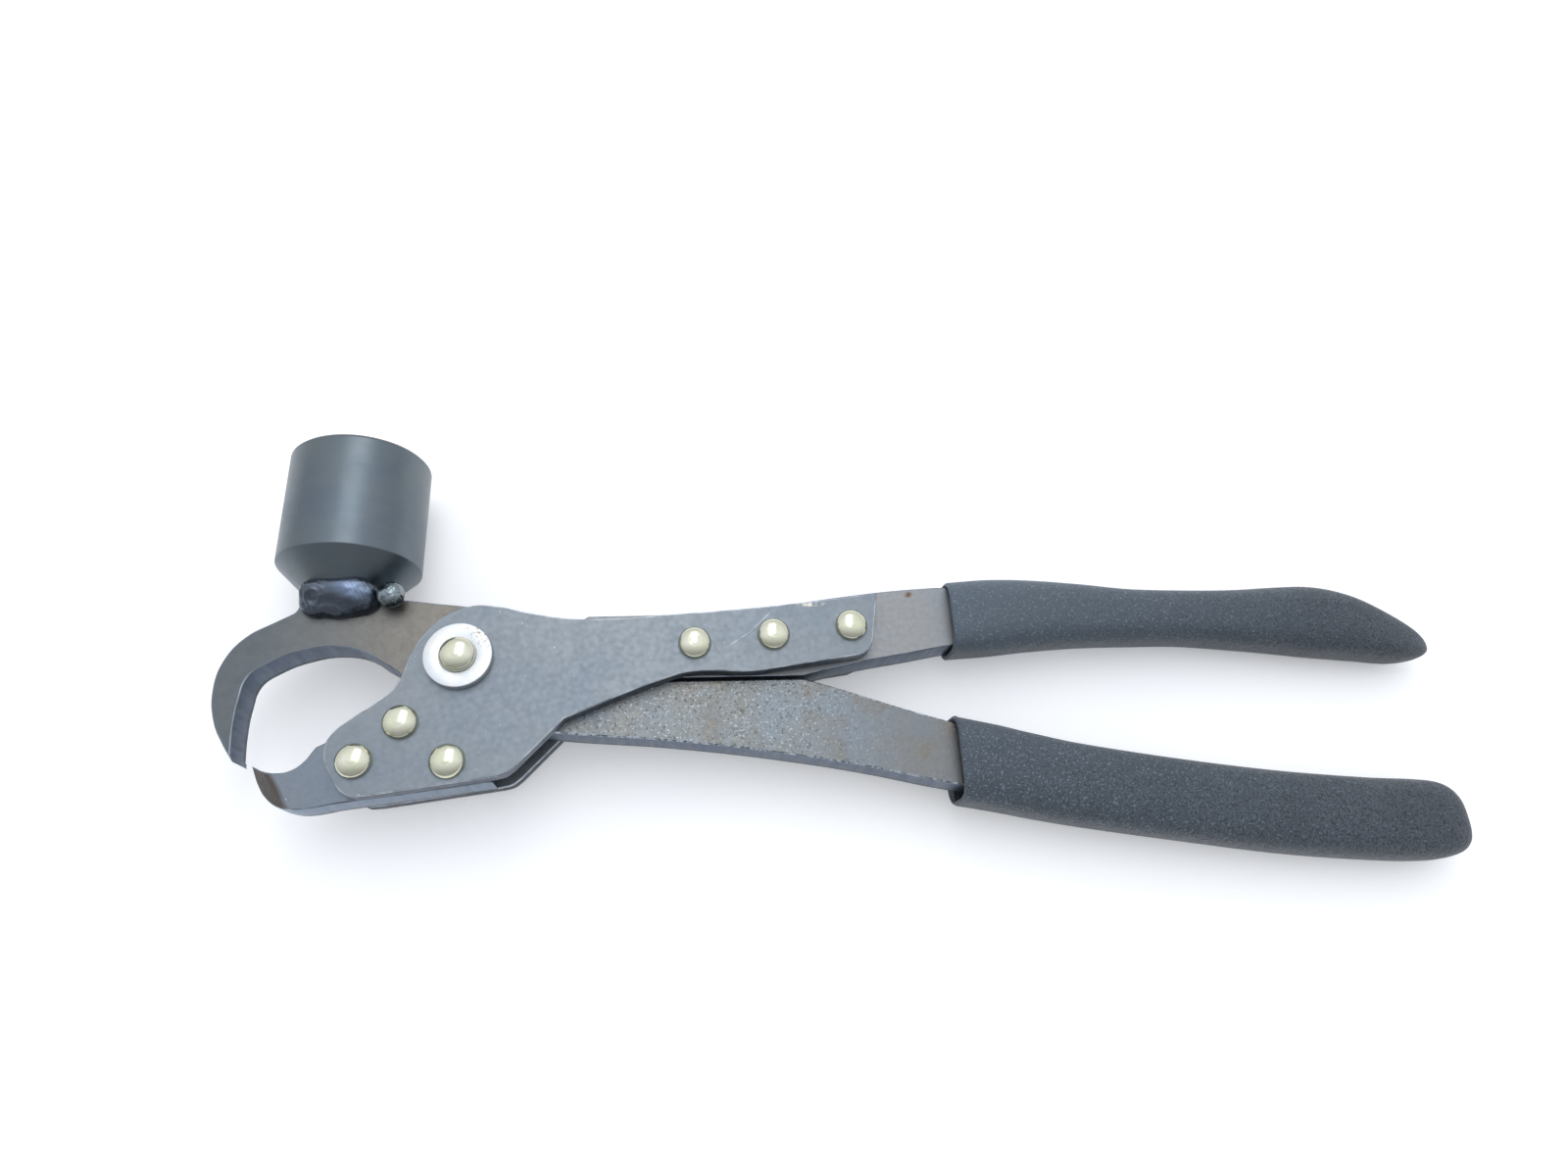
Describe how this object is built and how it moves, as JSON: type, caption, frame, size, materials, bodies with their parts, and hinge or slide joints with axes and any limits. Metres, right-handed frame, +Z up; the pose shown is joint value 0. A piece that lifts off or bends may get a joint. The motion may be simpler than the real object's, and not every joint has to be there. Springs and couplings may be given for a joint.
{
  "type": "wheel-weight plier with hammer head",
  "caption": "Hand plier with a hooked jaw, a hammer head welded on the jaw, riveted cheek plates and two foam-covered handles; the hooked lever swings open on one riveted pivot.",
  "frame": {"origin": "middle of the bounding box, on the surface that the tool lies on with the hammer head's side touching it", "axes": "+X from the jaws towards the handles, +Y towards the hammer's striking face, +Z up, square to the plates' faces"},
  "size_m": [0.2533, 0.0896, 0.0272],
  "materials": {
    "cheek_steel": "satin bluish-grey tumbled sheet steel",
    "lever_steel": "warm grey hot-rolled steel, lightly pitted",
    "hammer_black": "turned steel with a black-oxide finish",
    "weld_metal": "glossy blue-black weld bead",
    "rivet_zinc": "pale yellow passivated zinc, domed heads",
    "washer_zinc": "bright white zinc plating",
    "bush_bronze": "plain sintered bronze",
    "grip_foam": "charcoal granular foam sleeve"
  },
  "bodies": {
    "fixed_jaw_side": {"front_cheek_plate": "cheek_steel", "back_cheek_plate": "cheek_steel", "lower_jaw": "cheek_steel", "upper_handle_bar": "lever_steel", "upper_grip": "grip_foam", "pivot_rivet": "rivet_zinc", "front_pivot_washer": "washer_zinc", "back_pivot_washer": "washer_zinc", "jaw_rivet_1": "rivet_zinc", "jaw_rivet_2": "rivet_zinc", "jaw_rivet_3": "rivet_zinc", "handle_rivet_1": "rivet_zinc", "handle_rivet_2": "rivet_zinc", "handle_rivet_3": "rivet_zinc"},
    "lever_side": {"hook_jaw_lever": "lever_steel", "pivot_bush": "bush_bronze", "hammer_head": "hammer_black", "hammer_weld_front": "weld_metal", "hammer_weld_back": "weld_metal", "hammer_weld_tack": "weld_metal", "lower_grip": "grip_foam"}
  },
  "joints": [
    {"name": "jaw_pivot", "type": "hinge", "parent": "fixed_jaw_side", "child": "lever_side", "pos_m": [-0.08224, -0.00015, 0.0136], "axis": [0, 0, -1], "range_deg": [0, 28]}
  ]
}
